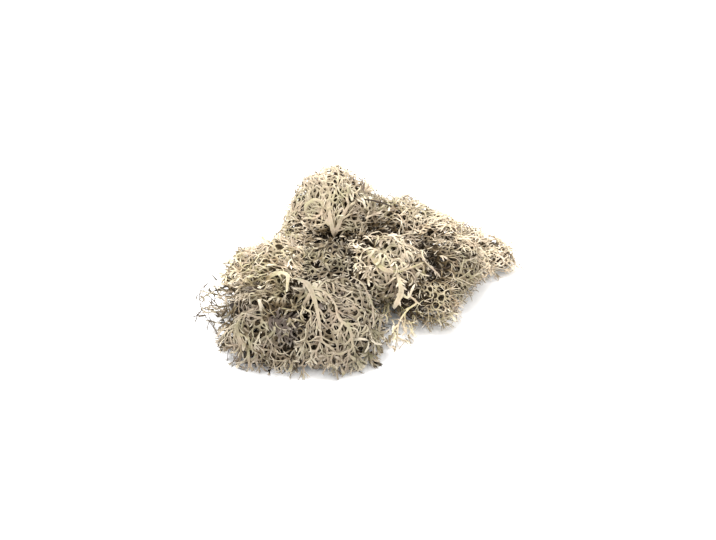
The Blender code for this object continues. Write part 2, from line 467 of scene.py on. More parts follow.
        parting = way[index] * np.cos(angle) + side[index] * np.sin(angle)
        width = half[index] * side_lobe * draw.uniform(0.7, 1.3, len(index))
        base = at[index] + side[index] * (hand * (half[index] - width * 0.8))[:, None]
        tips = self.start(base - outward[index] * 0.1, parting, width, np.zeros(len(index)),
                          np.full(len(index), tone) + draw.normal(0, 0.3, len(index)))
        tips["web"][:] = SIDE_WEB
        tips["lyre"] = -angle[:, 0] * 0.35
        tips["togo"] = draw.uniform(2.0, 4.0, len(index))
        tips["green"][:] = green
        self.grow(tips, SIDE_LENGTH, self.count + SIDE_ROWS)

    def first_lobes(self, share):
        """The main lobes: from the holdfast up to the skin of the dome and along it."""
        draw = self.random
        top = self.middle + (0, 0, self.half_sizes[2])
        way = unit(draw.normal(0, 0.8, (self.lobes, 3)) + unit(top - self.root))
        at = self.root + draw.normal(0, 1.5, (self.lobes, 3))
        at[:, 2] = np.maximum(at[:, 2], 2.0)
        width = self.width * draw.uniform(0.7, 1.1, self.lobes)
        depth = draw.uniform(*FIRST_DEPTH, self.lobes)
        tips = self.start(at, way, width, depth, draw.normal(0, 1, self.lobes))
        tips["green"] = np.where(draw.random(self.lobes) < 0.25, 0.7, 0.0)
        self.grow(tips, FIRST_LENGTH, self.most * share)

    def on_dome(self, amount):
        """Random points on the dome, and how much of its skin each one stands for."""
        ball = unit(self.random.normal(0, 1, (amount, 3)))
        share = np.linalg.norm(ball / self.half_sizes, axis=1)
        area = 4 * math.pi / amount * self.half_sizes.prod() * share
        return turned(ball * self.half_sizes, self.cos, self.sin) + self.middle, area

    def on_skin(self, amount, depth=0.0, moves=1):
        """Random points of the dome, moved to this depth below the heap's skin: where they are, the
        way out, how much nearer another dome is, and the area that each one stands for."""
        spot, area = self.on_dome(amount)
        for _ in range(moves):
            out, outward = heap_surface(spot)
            spot = spot - outward * (out + depth)[:, None]
        near = dome_distances(spot)[0]
        return spot, outward, near[:, self.number] - near.min(axis=1), area

    def open_area(self):
        """The area of the dome's skin that no neighbour or table covers, in square millimetres."""
        spot, _, nearer, area = self.on_skin(4000)
        return area[(nearer < 0.6) & (spot[:, 2] > 0)].sum()

    def bare_spots(self, layer, level, amount):
        """Bare places on the dome's open side, this far below the heap's skin."""
        spot, _, nearer, _ = self.on_skin(amount * 30, layer, moves=2)
        out, outward = heap_surface(spot)
        good = (nearer < 1.5) & (np.abs(out + layer) < 0.8)
        good &= (spot[:, 2] > 0.8) & (crowding_at(spot) < level)
        spot, outward = spot[good], outward[good]
        if not len(spot):
            return spot, outward
        _, first = np.unique(np.floor(spot / SPOT_GAP).astype(int), axis=0, return_index=True)
        first = self.random.permutation(first)[:amount]
        return spot[first], outward[first]

    def strands(self, amount, half, length, budget):
        """Long, thin, nearly straight strands that lie over the rest."""
        draw = self.random
        kept = self.fork, self.wander, self.decay, self.most_crowded
        self.fork, self.wander, self.decay, self.most_crowded = 7.5, 0.09, 0.006, UNCROWDED
        spot, outward, nearer, _ = self.on_skin(amount * 12, 0.4)
        good = (nearer < 1.0) & (spot[:, 2] > 2.0)
        spot, outward = spot[good][:amount], outward[good][:amount]
        way = self.flow(spot, outward)
        turn = draw.normal(0, 0.45, len(spot))[:, None]
        way = way * np.cos(turn) + np.cross(outward, way) * np.sin(turn)
        half = half * draw.uniform(0.7, 1.4, len(spot))
        tips = self.start(spot - way * 4.0 - outward * 1.2, way, half,
                          draw.uniform(-1.2, 0.4, len(spot)), draw.normal(0.3, 0.8, len(spot)))
        tips["stray"] = -turn[:, 0]
        self.grow(tips, length, self.count + budget)
        self.fork, self.wander, self.decay, self.most_crowded = kept

    def foot_lobes(self, amount, toward, half, reach):
        """Forked lobes that stick out of the foot of the tuft, low over the table."""
        draw = self.random
        kept = self.overshoot, self.most_crowded, self.fork, self.deepest, self.curl
        self.overshoot, self.most_crowded = reach + 5.0, UNCROWDED
        self.fork, self.deepest, self.curl = 2.9, 1.0, 0.20
        spot, outward, nearer, _ = self.on_skin(amount * 60)
        flat = unit(outward * (1, 1, 0))
        good = (nearer < 1.0) & (spot[:, 2] > 1.5) & (spot[:, 2] < FOOT_HEIGHT)
        good &= flat @ unit(np.array((*toward, 0.0))) > 0.35
        spot, flat = spot[good][:amount], flat[good][:amount]
        way = unit(flat + draw.normal(0, 0.35, flat.shape) * (1, 1, 0.9))
        half = half * np.exp(draw.normal(0, 0.4, len(spot)).clip(-0.8, 0.6))
        tips = self.start(spot - flat * 3.0, way, half, -draw.uniform(0.15, 1.0, len(spot)) * reach,
                          draw.normal(0, 0.8, len(spot)))
        tips["stray"][:] = 0.0
        tips["green"] = np.where(draw.random(len(spot)) < 0.35, 0.6, 0.0)
        self.grow(tips, reach + 3.5, self.count + amount * 60)
        self.overshoot, self.most_crowded, self.fork, self.deepest, self.curl = kept

    def fill_gaps(self, layer, level, width, length, budget, step=ROW_STEP):
        """Side lobes that rise into the bare places of one layer and run along it."""
        draw = self.random
        for _ in range(FILL_ROUNDS):
            if self.count > self.most * budget:
                break
            spot, outward = self.bare_spots(layer, level, LOBES_A_ROUND)
            amount = len(spot)
            if amount < 4:
                break
            flow = self.flow(spot, outward)
            turn = draw.normal(0, SCATTER, amount)[:, None]
            flow = flow * np.cos(turn) + np.cross(outward, flow) * np.sin(turn)
            back = draw.uniform(*BEHIND, (amount, 1))
            base = spot - flow * back - outward * draw.uniform(*BENEATH, (amount, 1))
            base[:, 2] = np.maximum(base[:, 2], 0.8)
            depth = layer + draw.normal(0, 0.6, amount)
            half = width * np.exp(draw.normal(-0.1, 0.35, amount).clip(-0.7, 0.6))
            tips = self.start(base, spot - base, half, depth, draw.normal(0, 1, amount))
            tips["stray"] = -turn[:, 0] + draw.normal(0, 0.2, amount)
            tips["togo"] = draw.uniform(1.2, 1.0 + self.fork, amount)
            self.grow(tips, length * draw.uniform(0.7, 1.2), self.most * budget, step)

    def net_seeds(self, depth, cell, share):
        """The middles of a net's holes, spread over patches of the skin, and longer along the flow."""
        draw = self.random
        spot, _, nearer, _ = self.on_skin(4500, depth, moves=2)
        out, outward = heap_surface(spot)
        good = (nearer < 0.8) & (np.abs(out + depth) < 0.8)
        good &= (spot[:, 2] > 1.4) & (patches(spot + 17.0 * self.number + 9.0 * depth) < share)
        spot, outward = spot[good], outward[good]
        flow = self.flow(spot, outward)
        size = cell * np.exp(0.42 * patches(spot * 0.9 + 40.0) + draw.normal(0, 0.12, len(spot)))
        chosen = np.zeros(len(spot), int)
        amount = 0
        for seed in range(len(spot)):
            gap = spot[chosen[:amount]] - spot[seed]
            along = gap @ flow[seed]
            apart = (gap ** 2).sum(axis=1) + (NET_STRETCH ** -2 - 1) * along ** 2
            if not amount or apart.min() > size[seed] ** 2:
                chosen[amount] = seed
                amount += 1
        return spot[chosen[:amount]]

    def net_faces(self, seeds, longest):
        """Triangles between neighbouring seeds, found with the dome's skin laid out flat."""
        ball = unit(turned(seeds - self.middle, self.cos, -self.sin) / self.half_sizes)
        pole = unit(ball.mean(axis=0))
        east = unit(np.cross((0.0, 1.0, 0.05), pole))
        flat = np.stack((ball @ east, ball @ np.cross(pole, east)), axis=1)
        lie = unit(flat) * np.arccos(np.clip(ball @ pole, -1, 1))[:, None]
        faces = delaunay_2d_cdt([Vector(p) for p in lie], [], [], 0, 1e-7)[2]
        return [f for f in faces if max(np.linalg.norm(seeds[f[i]] - seeds[f[i - 1]])
                                        for i in range(3)) < longest]

    def net(self, depth, cell, strap, share):
        """A net: short lobes grown together at their webs, which leaves rounded holes. Returns the
        part of the mesh it makes, and where and which way other lobes run on from it."""
        draw = self.random
        seeds = self.net_seeds(depth, cell, share)
        faces = self.net_faces(seeds, 2.4 * cell * NET_STRETCH)
        rings = rings_around(faces)
        if not rings:
            return None
        joints = seeds[np.array(faces)].mean(axis=1) + draw.normal(0, 0.10 * cell, (len(faces), 3))
        out, above = heap_surface(joints)
        swell = depth + 1.2 * patches(joints * 1.6)
        joints = joints - above * (out + swell)[:, None]
        points, ups = list(joints), list(above)
        below = list(-heap_surface(joints, hollowed=False)[0])
        bridge = {}

        def bridge_between(one, other):
            key = (min(one, other), max(one, other))
            if key not in bridge:
                bridge[key] = len(points)
                points.append((joints[one] + joints[other]) / 2 + draw.normal(0, 0.07 * cell, 3))
                ups.append(unit(above[one] + above[other]))
                below.append((below[one] + below[other]) / 2)
            return bridge[key]

        around = []
        for ring in rings.values():
            loop = []
            for (one, _), (other, _) in zip(ring, ring[1:] + ring[:1]):
                loop += [one, bridge_between(one, other)]
            around.append(loop)
        outer = len(points)
        rims, edges, quads = [], {}, []
        for loop in around:
            edge = np.array([points[p] for p in loop])
            middle = edge.mean(axis=0)
            for _ in range(2):
                edge = (np.roll(edge, 1, axis=0) + 2 * edge + np.roll(edge, -1, axis=0)) / 4
            reach = np.linalg.norm(edge - middle, axis=1)[:, None]
            wider = 1.0 + 0.8 * max(0.0, patches(middle[None] * 0.7)[0])
            width = strap * math.exp(draw.normal(0.0, 0.35)) * wider
            first = outer + sum(len(rim) for rim in rims)
            rims.append(middle + (edge - middle) * np.clip(1 - width / reach, 0.2, 0.9))
            for i, one in enumerate(loop):
                j = (i + 1) % len(loop)
                other = loop[j]
                quads.append(((one, 1), (other, 1), (first + j, 0), (first + i, 0), 0.0))
                quads.append(((other, -1), (one, -1), (first + i, 0), (first + j, 0), 1.0))
                if (other, one) in edges:
                    del edges[other, one]
                else:
                    edges[one, other] = True
        for one, other in edges:
            quads.append(((other, 1), (one, 1), (one, -1), (other, -1), 1.0))
        base, ups, rim = np.array(points), np.array(ups), np.concatenate(rims)
        rim_below = [np.full(len(r), np.mean([below[p] for p in loop])) for r, loop in zip(rims, around)]
        tone = 0.8 * patches(np.concatenate((base, rim)) * 0.8)
        tone[:outer] += draw.normal(0, 0.6, outer)
        ridge_rim = np.full(outer, 0.45)
        whole = np.concatenate((base + ups * NET_ABOVE, rim, base - ups * NET_BELOW))
        shift = {1: 0, 0: 0, -1: outer + len(rim)}
        made = np.array([[number + shift[side] for number, side in quad[:4]] for quad in quads])
        part = dict(points=whole, faces={4: made}, under={4: np.array([quad[4] for quad in quads])},
                    tip=np.zeros(len(whole)), below=np.concatenate((below, *rim_below, below)),
                    tone=np.concatenate((tone, tone[:outer])), green=np.zeros(len(whole)),
                    rim=np.concatenate((ridge_rim, np.ones(len(rim)), ridge_rim)))
        length = cell * 0.6
        add_crowding(base, np.full(len(base), 2 * strap * length * 0.5))
        uses = {}
        for centre, ring in rings.items():
            for number, _ in ring:
                uses.setdefault(number, []).append(centre)
        rimmed = [n for n, centres in uses.items() if len(centres) < 3]
        inside = [n for n, centres in uses.items() if len(centres) == 3 and draw.random() < 0.16]
        away = [joints[n] - seeds[uses[n]].mean(axis=0) for n in rimmed]
        away += [above[n] * 0.5 + unit(draw.normal(0, 1, 3)) for n in inside]
        return part, joints[rimmed + inside], unit(np.array(away))


def smooth_line(line, halves):
    """Places and half widths along a smooth curve through the points of a line."""
    ends = np.vstack((2 * line[0] - line[1], line, 2 * line[-1] - line[-2]))
    at, half = [], []
    for i in range(len(line) - 1):
        p0, p1, p2, p3 = ends[i:i + 4]
        for t in np.arange(0, 1, LEAD_STEP / max(1e-6, np.linalg.norm(p2 - p1))):
            at.append(0.5 * (2 * p1 + (p2 - p0) * t + (2 * p0 - 5 * p1 + 4 * p2 - p3) * t ** 2
                             + (3 * p1 - p0 - 3 * p2 + p3) * t ** 3))
            half.append(halves[i] + (halves[i + 1] - halves[i]) * t)
    return np.array(at), np.array(half)


def rings_around(faces):
    """The triangles around each seed, in order, each with the seed that follows it. A seed at the
    edge has no whole ring and is left out."""
    corner = {}
    for number, (a, b, c) in enumerate(faces):
        corner[a, b], corner[b, c], corner[c, a] = (number, c), (number, a), (number, b)
    rings = {}
    for centre, first in corner:
        if centre in rings:
            continue
        ring, at = [], first
        while (centre, at) in corner and len(ring) < MOST_SIDES:
            number, following = corner[centre, at]
            ring.append((number, following))
            at = following
            if at == first:
                rings[centre] = ring
                break
        else:
            rings[centre] = None
    return {centre: ring for centre, ring in rings.items() if ring}


# A dried lobe's share of its grown width, how thick it is along its ridge, and the lengths over
# which a blunt end tapers and an end turns pale. Nothing lies lower than LOWEST over the table.
LOBE_WIDTH = 0.92
LOBE_HEIGHT = (0.16, 0.60)
BLUNT_LENGTH = 1.8
TIP_LENGTH = 3.0
LOWEST = 0.12
SHARPEST_FOLD = math.radians(95)


def lobe_part(rows):
    """Closed lobes from rows across them: the two rims and the ridge of each row, and two more
    points in the web where a lobe forks. The underside is flat and the rims are thin."""
    amount = len(rows["at"])
    prev, branch = rows["prev"], rows["branch"]
    to_end = np.where(rows["blunt"], BLUNT_LENGTH, 0.0)
    followed = np.zeros(amount, bool)
    for row in range(amount - 1, -1, -1):
        before = prev[row]
        if before >= 0:
            followed[before] = True
            to_end[before] = max(to_end[before], to_end[row] + rows["step"][row])
    forked = rows["forked"] & (np.bincount(prev[prev >= 0], minlength=amount) == 2)
    taper = np.clip(to_end / np.maximum(1.4, rows["half"] * 2.2), 0, 1)
    half = LOBE_WIDTH * rows["half"] * (0.30 + 0.70 * taper ** 0.6)
    height = np.clip(0.14 + 0.24 * half, *LOBE_HEIGHT)
    at, side, up = rows["at"], rows["side"], rows["up"]
    middle = np.where(forked, rows["split"], 0.0)

    def across(share):
        return at + side * (share * half)[:, None] + up * (height * (1 - share ** 2))[:, None]

    fork_rows = np.flatnonzero(forked)
    forks = len(fork_rows)
    points = np.concatenate((across(np.full(amount, -1.0)), across(middle), across(np.ones(amount)),
                             across((middle - 1) / 2)[fork_rows], across((middle + 1) / 2)[fork_rows]))
    row = np.arange(amount)
    left, ridge, right = row, row + amount, row + 2 * amount
    left_web = np.zeros(amount, int)
    left_web[fork_rows] = 3 * amount + np.arange(forks)
    right_web = left_web + forks

    has = prev >= 0
    before = np.where(has, prev, 0)
    goes_left = forked[before] & has & (branch == 1)
    goes_right = forked[before] & has & (branch == 2)
    from_left = np.where(goes_right, ridge[before], left[before])
    from_ridge = np.where(goes_left, left_web[before],
                          np.where(goes_right, right_web[before], ridge[before]))
    from_right = np.where(goes_left, ridge[before], right[before])

    faces = {3: [], 4: [], 5: []}
    beneath = {3: [], 4: [], 5: []}

    def face(chosen, under, *corners):
        made = np.stack([corner[chosen] for corner in corners], axis=1)
        faces[len(corners)].append(made)
        beneath[len(corners)].append(np.full(len(made), under))

    plain, split = has & ~forked, has & forked
    face(plain, 0.0, from_left, from_ridge, ridge, left)
    face(plain, 0.0, from_ridge, from_right, right, ridge)
    face(plain, 1.0, from_right, from_left, left, right)
    face(split, 0.0, from_left, from_ridge, ridge, left_web)
    face(split, 0.0, from_left, left_web, left)
    face(split, 0.0, from_ridge, from_right, right_web, ridge)
    face(split, 0.0, from_right, right, right_web)
    face(split, 1.0, from_right, from_left, left, ridge, right)
    face(has & ~followed, 1.0, left, ridge, right)
    face(~has & followed, 1.0, right, ridge, left)

    tip = np.clip(1 - to_end / TIP_LENGTH, 0, 1) * np.clip(1.4 - half, 0.2, 1)
    inner = np.clip(1.15 - 0.6 * half, 0.15, 0.85)
    rim = np.concatenate((np.ones(amount), inner, np.ones(amount), inner[fork_rows], inner[fork_rows]))

    def spread(values):
        return np.concatenate([values] * 3 + [values[fork_rows]] * 2)

    return dict(points=points, faces={size: np.concatenate(made) for size, made in faces.items()},
                under={size: np.concatenate(made) for size, made in beneath.items()},
                tip=spread(tip), below=spread(rows["below"]), tone=spread(rows["tone"]),
                green=spread(rows["green"]), rim=rim)


def thallus_mesh(name, parts):
    """Lobes and nets as one mesh, with what the skin's colour depends on at each point."""
    start = np.cumsum([0] + [len(part["points"]) for part in parts])
    points = np.concatenate([part["points"] for part in parts])
    faces, under = [], []
    for part, first in zip(parts, start):
        for size, made in part["faces"].items():
            faces.append(made + first)
            under.append(part["under"][size])
    used = np.zeros(len(points), bool)
    for made in faces:
        used[made.ravel()] = True
    renumber = np.cumsum(used) - 1
    points[:, 2] = np.maximum(points[:, 2], LOWEST)
    mesh = bpy.data.meshes.new(name)
    kept = points[used] * MM
    mesh.vertices.add(len(kept))
    mesh.vertices.foreach_set("co", kept.astype(np.float32).ravel())
    corners = np.concatenate([renumber[made].ravel() for made in faces])
    mesh.loops.add(len(corners))
    mesh.loops.foreach_set("vertex_index", corners.astype(np.int32))
    sizes = np.concatenate([np.full(len(made), made.shape[1]) for made in faces])
    mesh.polygons.add(len(sizes))
    mesh.polygons.foreach_set("loop_start", (np.cumsum(sizes) - sizes).astype(np.int32))
    mesh.update(calc_edges=True)
    for key in ("tip", "below", "tone", "green", "rim"):
        values = np.concatenate([part[key] for part in parts])[used]
        attribute = mesh.attributes.new(key, "FLOAT", "POINT")
        attribute.data.foreach_set("value", values.astype(np.float32))
    attribute = mesh.attributes.new("under", "FLOAT", "FACE")
    attribute.data.foreach_set("value", np.concatenate(under).astype(np.float32))
    mesh.shade_smooth()
    mesh.set_sharp_from_angle(angle=SHARPEST_FOLD)
    return mesh


# Lobe colours, in linear light.
CREAM = (0.80, 0.66, 0.475)
GREY_GREEN = (0.55, 0.50, 0.315)
OLIVE = (0.44, 0.40, 0.19)
# The next colour is the brown of dark strands and browner tufts, and also painted shade that the skin
# takes on with depth below the heap's skin.
BROWN_AND_SHADE = (0.155, 0.096, 0.032)
# The next colour is painted deep shade: near-black that the skin takes on deep below the heap's skin,
# where the gaps between lobes are dark.
PAINTED_DEEP_SHADE = (0.022, 0.012, 0.003)
VIOLET = (0.24, 0.18, 0.155)
PINKISH = (0.72, 0.55, 0.41)
UNDERSIDE = (0.23, 0.172, 0.098)
RUST = (0.42, 0.23, 0.10)
TIP = (0.87, 0.77, 0.62)
# The most that the skin's colour is multiplied by, so that no skin passes white.
MOST_SHADE = 1.12


def lichen_material(name, olive, lightness_and_painted_light, rust, grey, brown=0.0):
    """The skin of the lobes: mottled, finely granular, paler at the tips, grey-violet on the underside,
    darker and browner with depth as painted shade, and lit or shaded per tuft as painted light."""
    material, nodes, links, shader = node_material(name)
    place = nodes.new("ShaderNodeTexCoord")

    def attribute(key):
        node = nodes.new("ShaderNodeAttribute")
        node.attribute_name = key
        return node.outputs["Fac"]

    def noise(scale, detail=3.0, rough=0.6):
        node = nodes.new("ShaderNodeTexNoise")
        node.inputs["Scale"].default_value = scale
        node.inputs["Detail"].default_value = detail
        node.inputs["Roughness"].default_value = rough
        links.new(place.outputs["Object"], node.inputs["Vector"])
        return node.outputs["Fac"]

    def remap(value, low, high, out_low=0.0, out_high=1.0):
        node = nodes.new("ShaderNodeMapRange")
        node.inputs["From Min"].default_value = low
        node.inputs["From Max"].default_value = high
        node.inputs["To Min"].default_value = out_low
        node.inputs["To Max"].default_value = out_high
        links.new(value, node.inputs["Value"])
        return node.outputs["Result"]

    def maths(operation, first, second):
        node = nodes.new("ShaderNodeMath")
        node.operation = operation
        for socket, value in zip(node.inputs, (first, second)):
            if isinstance(value, (int, float)):
                socket.default_value = value
            else:
                links.new(value, socket)
        return node.outputs["Value"]

    def mix(share, first, second, how="MIX"):
        node = nodes.new("ShaderNodeMix")
        node.data_type = "RGBA"
        node.blend_type = how
        for socket, value in ((node.inputs["Factor"], share), (node.inputs["A"], first),
                              (node.inputs["B"], second)):
            if isinstance(value, (int, float)):
                socket.default_value = value
            elif isinstance(value, tuple):
                socket.default_value = (*value, 1.0)
            else:
                links.new(value, socket)
        return node.outputs["Result"]

    areas = noise(70.0, 2.0)
    mottle = noise(650.0, 4.0, 0.7)
    grain = noise(3200.0, 3.0, 0.7)
    tone = attribute("tone")
    greenish = remap(maths("ADD", areas, maths("MULTIPLY", tone, 0.11)), 0.40, 0.64)
    colour = mix(greenish, CREAM, GREY_GREEN)
    yellowish = maths("MULTIPLY", remap(noise(45.0, 1.0), 0.46, 0.64), olive)
    yellowish = maths("MAXIMUM", yellowish, attribute("green"))
    colour = mix(yellowish, colour, OLIVE)
    warm = maths("ADD", noise(150.0, 2.0), maths("MULTIPLY", tone, -0.03))
    colour = mix(remap(warm, 0.46, 0.62, 0.0, 0.65), colour, PINKISH)
    colour = mix(remap(noise(110.0, 3.0), 0.58, 0.70, 0.0, rust), colour, RUST)
    colour = mix(remap(noise(62.0, 2.0), 0.52, 0.66, 0.0, grey), colour, VIOLET)
    colour = mix(remap(tone, 0.4, 1.8, 0.0, 0.6), colour, TIP)
    colour = mix(maths("MULTIPLY", remap(mottle, 0.45, 0.75), 0.45), colour, TIP)
    # Painted shade: the skin turns brown with depth below the heap's skin, on top of the tuft's own brown
    # and the brown of dark strands.
    brown_and_shade = maths("ADD", remap(attribute("below"), 0.4, 2.5, 0.0, 0.95), brown)
    brown_and_shade = maths("MINIMUM", maths("MAXIMUM", brown_and_shade, remap(tone, -0.9, -2.2, 0.0, 0.6)), 0.9)
    colour = mix(brown_and_shade, colour, BROWN_AND_SHADE)
    # Painted deep shade: near-black deep below the heap's skin.
    colour = mix(remap(attribute("below"), 1.6, 4.0, 0.0, 0.97), colour, PAINTED_DEEP_SHADE)
    colour = mix(remap(tone, -1.5, -2.2, 0.0, 0.85), colour, VIOLET)
    # Pale tips, less pale deep below the skin, where the painted shade takes over.
    pale = maths("MULTIPLY", attribute("tip"), remap(attribute("below"), 2.0, 5.0, 0.75, 0.1))
    colour = mix(pale, colour, TIP)
    below_side = maths("MULTIPLY", attribute("under"), remap(mottle, 0.3, 0.6, 0.95, 0.6))
    colour = mix(below_side, colour, UNDERSIDE)
    uneven = maths("ADD", maths("MULTIPLY", tone, 0.22), grain)
    # The tuft's lightness: partly its own tone, partly painted light and shade for how the lamp falls on
    # that part of the heap.
    shade = remap(uneven, 0.05, 0.95, 0.58 * lightness_and_painted_light, 1.30 * lightness_and_painted_light)
    shade = maths("MULTIPLY", shade, remap(attribute("rim"), 0.0, 1.0, 0.70, 1.10))
    shade = maths("MINIMUM", shade, MOST_SHADE)
    tint = nodes.new("ShaderNodeCombineColor")
    for socket in tint.inputs:
        links.new(shade, socket)
    colour = mix(1.0, colour, tint.outputs["Color"], "MULTIPLY")
    links.new(colour, shader.inputs["Base Color"])
    shader.inputs["Roughness"].default_value = 0.82
    shader.inputs["Specular IOR Level"].default_value = 0.25
    bump = nodes.new("ShaderNodeBump")
    bump.inputs["Strength"].default_value = 0.55
    bump.inputs["Distance"].default_value = 0.18 * MM
    links.new(mottle, bump.inputs["Height"])
    links.new(bump.outputs["Normal"], shader.inputs["Normal"])
    return material


# Layers of a dense tuft, from its core out: depth below the skin, how bare a place must be, the half
# width and the step or length of its lobes, and how full the tuft may then be. The skin's layers have
# bareness and width as shares of the tuft's own.
CORE_LAYERS = ((9.0, 0.10, 2.2, 1.6, 0.27), (6.0, 0.12, 1.7, 1.3, 0.40))
SKIN_LAYERS = ((3.4, 1.0, 0.75, 14, 0.58), (1.4, 1.0, 0.52, 15, 0.82), (0.0, 0.8, 0.38, 14, 1.0))
CORE_LENGTH = 14
# A strand's length, and the share of the tuft's rows that strands may add.
STRAND_LENGTH = 20
STRAND_SHARE = 0.22


def grow_tuft(name, seed, material, leads=(), sparse=False, cell=0.0, strap=0.25, cover=0.15,
              strands=0, strand=0.24, foot=(), **style):
    """Grows one tuft in place of its dome: main lobes, foot, nets, strands, and what fills it."""
    tuft = Tuft(name, seed, **style)
    parts = []
    for lead in leads:
        tuft.lead(**lead)
    if foot:
        tuft.foot_lobes(*foot)
    upper = (0.9, cell, strap, cover, 0.10)
    lower = (3.4, cell * 1.35, strap * 1.4, 0.6, 0.16)
    for depth, size, wide, share, rows in (upper, lower) if cell else ():
        made = tuft.net(depth, size, wide, share)
        if made:
            part, at, way = made
            parts.append(part)
            half = wide * tuft.random.uniform(0.6, 1.25, len(at))
            tone = tuft.random.normal(0, 0.7, len(at))
            tips = tuft.start(at, way, half, np.full(len(at), depth), tone)
            tips["togo"] = tuft.random.uniform(0.8, 3.0, len(at))
            tuft.grow(tips, 8, tuft.most * rows)
    if strands:
        tuft.strands(strands, strand, STRAND_LENGTH, tuft.most * STRAND_SHARE)
    if sparse:
        tuft.first_lobes(0.6)
        tuft.fill_gaps(2.5, tuft.fill, tuft.width, 16, 1.0)
    else:
        tuft.first_lobes(0.22)
        for layer, level, width, step, full in CORE_LAYERS:
            tuft.fill_gaps(layer, level, width, CORE_LENGTH, full, step=step)
        for layer, level, width, length, full in SKIN_LAYERS:
            tuft.fill_gaps(layer, tuft.fill * level, tuft.width * width, length, full)
    parts.append(lobe_part({key: np.concatenate(value) for key, value in tuft.rows.items()}))
    mesh = thallus_mesh(name + "_lobes", parts)
    mesh.materials.append(material)
    made = bpy.data.objects.new(name + "_lobes", mesh)
    bpy.context.scene.collection.objects.link(made)
    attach(made, "root")
    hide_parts(name)


# ----------------------------------------
# Tuft behind the crest. A dense, pale thallus that leans on the crest's back and left, dry and
# springy. It grows from the twig's crest branch. Its skin is the palest kind in the heap.
# ----------------------------------------
pale = lichen_material("pale lichen skin", olive=0.40, lightness_and_painted_light=0.80, rust=0.15, grey=0.10)
grow_tuft("tuft_crest_back", seed=100, material=pale, cell=1.8, strap=0.19, root=(-16, 38, 14), fine=0.20,
          width=0.75, density=0.8)

# ----------------------------------------
# Tuft behind the right slope. A low, dense thallus on the table behind the twig's right end, tanned
# by the light and half hidden from the front.
# ----------------------------------------
# Its high lightness is partly painted light, for the right slope and end where the lamp falls.
tanned = lichen_material("tanned lichen skin", olive=0.10, lightness_and_painted_light=1.06, rust=0.35, grey=0.15)
grow_tuft("tuft_back_right", seed=101, material=tanned, cell=1.8, strap=0.19, root=(10, 42, 12),
          fine=0.20, width=0.75, density=0.8)

# ----------------------------------------
# Crest. The tallest tuft: a fan of broad, flat main lobes that part above the dark gap at their
# foot, one curled over at the left, among fine nets. It grows around the crest branch.
# ----------------------------------------
crest_leads = (
    dict(line=((-12, 14, 27), (-12.5, 11.5, 31), (-13.5, 13, 36), (-14.5, 16.5, 41.5), (-14, 20.5, 47)),
         halves=(0.45, 0.86, 1.19, 0.92, 0.59), gap=3.4, side_lobe=0.36),
    dict(line=((-12, 15, 27), (-11, 12, 32), (-8.5, 14.5, 38), (-5.5, 17, 42.5)),
         halves=(0.45, 0.86, 0.99, 0.66), gap=3.4, side_lobe=0.34),
    dict(line=((-12, 15, 28), (-13, 12.5, 34), (-17.5, 16, 39), (-21.5, 21, 42.5)),
         halves=(0.45, 0.86, 1.06, 0.66), gap=3.2, side_lobe=0.34),
    dict(line=((-25, 18, 37), (-25.5, 19, 41), (-21.5, 18.5, 45), (-17.5, 18, 43.5), (-18, 15.5, 39.5)),
         halves=(0.59, 0.86, 0.86, 0.79, 0.53), gap=4.3, side_lobe=0.3, green=0.3),
)
grow_tuft("tuft_crest", seed=102, material=pale, leads=crest_leads, cell=2.0, strap=0.25,
          root=(-12, 20, 22), density=1.15, cover=0.35, strands=30, fine=0.16, width=0.95, lobes=18)

# ----------------------------------------
# Right flank of the crest. Dense, thin, pale lobes that run down from the crest to the right slope,
# with the thin twiglet over them. It grows from the stem behind the middle.
# ----------------------------------------
grow_tuft("tuft_crest_right", seed=103, material=pale, cell=1.7, strap=0.20, strands=26, root=(2, 22, 16),
          density=1.2, fine=0.15, width=0.70, fork=3.0)

# ----------------------------------------
# Upper left spray. A small greenish tuft whose fine tips spray out to the upper left. It is wedged
# between the crest and the left tuft.
# ----------------------------------------
greenish = lichen_material("greenish lichen skin", olive=0.9, lightness_and_painted_light=0.92, rust=0.45, grey=0.20)
grow_tuft("tuft_left_spray", seed=104, material=greenish, cell=2.0, strap=0.22, deepest=1.7, strands=26,
          root=(-16, 12, 18), fine=0.18, width=0.80)

# ----------------------------------------
# Upper left tuft. A broad, rounded, greenish thallus with one strap curled round like a hook and
# one long thin lobe over the top. It grows from the middle of the stem.
# ----------------------------------------
left_upper_leads = (
    dict(line=((-43, -16, 21), (-41, -14, 24), (-37, -13.5, 25.5), (-33, -17, 26.5), (-33, -22, 23)),
         halves=(0.59, 1.06, 1.19, 0.99, 0.53), gap=5.4, side_lobe=0.3, green=0.5),
    dict(line=((-57, -2, 23), (-48, -6, 26.5), (-41, -9.5, 27.5), (-35, -11, 27)),
         halves=(0.30, 0.42, 0.42, 0.30), gap=4.1, side_lobe=0.8, green=0.5),
)
grow_tuft("tuft_left_upper", seed=105, material=greenish, leads=left_upper_leads, cell=2.0, strap=0.22,
          cover=0.35, deepest=1.7, strands=46, root=(-24, 0, 16), fine=0.20, width=0.95)

